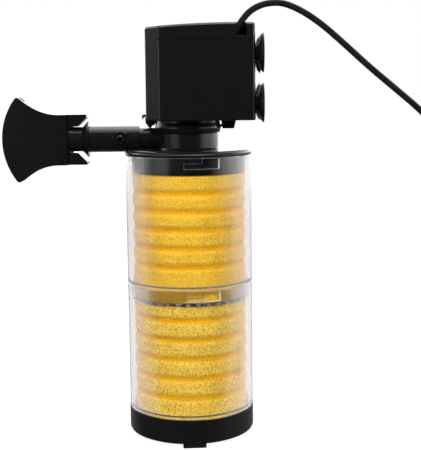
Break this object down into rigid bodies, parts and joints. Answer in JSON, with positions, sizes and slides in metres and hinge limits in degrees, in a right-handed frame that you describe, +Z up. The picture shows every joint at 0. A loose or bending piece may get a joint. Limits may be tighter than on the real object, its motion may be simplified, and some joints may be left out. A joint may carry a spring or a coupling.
{
  "type": "internal power filter",
  "caption": "Black internal aquarium filter with clear stacked canisters, yellow foam inserts, a fan outlet, suction cups and a mains cord.",
  "frame": {"origin": "on the canister axis in the plane of the feet", "axes": "+Z up along the canister axis, the fan outlet points to -X, the suction cups face +X"},
  "size_m": [0.4395, 0.1015, 0.3435],
  "materials": {
    "black_plastic": "satin",
    "clear_plastic": "transparent, polished",
    "yellow_foam": "open-cell foam",
    "ferrite": "matte",
    "white_plastic": "satin",
    "ceramic_shaft": "polished",
    "black_rubber": "matte",
    "electrical_steel": "dull",
    "copper_wire": "enamelled",
    "resin": "cast",
    "cord_sheath": "semi-matte",
    "tie_strap": "satin",
    "plated_brass": "nickel plated"
  },
  "bodies": {
    "pump_head": {"pump_housing": "black_plastic", "housing_lid": "black_plastic", "cord_gland": "black_rubber", "stator_core": "electrical_steel", "coil_bobbins": "white_plastic", "coil_windings": "copper_wire", "motor_potting": "resin", "lead_wires": "cord_sheath", "rotor_shaft": "ceramic_shaft", "lower_bush": "black_rubber", "upper_bush": "black_rubber", "volute_cover": "black_plastic", "canister_lid": "black_plastic", "outlet_pipe": "black_plastic", "air_nipple": "black_plastic", "cup_front_lower": "black_rubber", "cup_front_upper": "black_rubber", "cup_rear_lower": "black_rubber", "cup_rear_upper": "black_rubber", "power_cord": "cord_sheath", "cord_coil": "cord_sheath", "cord_tail": "cord_sheath", "cord_tie": "tie_strap", "plug_body": "black_rubber", "plug_pins": "plated_brass"},
    "rotor": {"rotor_magnet": "ferrite", "impeller": "white_plastic"},
    "swivel": {"nozzle_collar": "black_plastic", "pivot_pins": "black_plastic"},
    "fan": {"fan_nozzle": "black_plastic"},
    "latch": {"latch_lever": "black_plastic"},
    "upper_module": {"upper_canister": "clear_plastic", "upper_sponge": "yellow_foam"},
    "lower_module": {"lower_canister": "clear_plastic", "lower_sponge": "yellow_foam"},
    "cap": {"bottom_cap": "black_plastic"}
  },
  "joints": [
    {"name": "rotor_spin", "type": "hinge", "parent": "pump_head", "child": "rotor", "pos_m": [0, 0, 0.27], "axis": [0, 0, 1], "continuous": true},
    {"name": "nozzle_swivel", "type": "hinge", "parent": "pump_head", "child": "swivel", "pos_m": [-0.08, 0.01, 0.238], "axis": [1, 0, 0], "continuous": true},
    {"name": "nozzle_tilt", "type": "hinge", "parent": "swivel", "child": "fan", "pos_m": [-0.095, 0.01, 0.238], "axis": [0, 0, 1], "range_deg": [-25, 25]},
    {"name": "latch_release", "type": "hinge", "parent": "pump_head", "child": "latch", "pos_m": [-0.0304, 0.008, 0.2485], "axis": [0, 1, 0], "range_deg": [-9, 0], "stiffness_Nm_per_rad": 0.5},
    {"name": "upper_canister_twist", "type": "hinge", "parent": "pump_head", "child": "upper_module", "pos_m": [0, 0, 0.2], "axis": [0, 0, 1], "range_deg": [-16, 0]},
    {"name": "lower_canister_twist", "type": "hinge", "parent": "upper_module", "child": "lower_module", "pos_m": [0, 0, 0.1], "axis": [0, 0, 1], "range_deg": [-16, 0]},
    {"name": "bottom_cap_twist", "type": "hinge", "parent": "lower_module", "child": "cap", "pos_m": [0, 0, 0.01], "axis": [0, 0, 1], "range_deg": [-16, 0]}
  ]
}
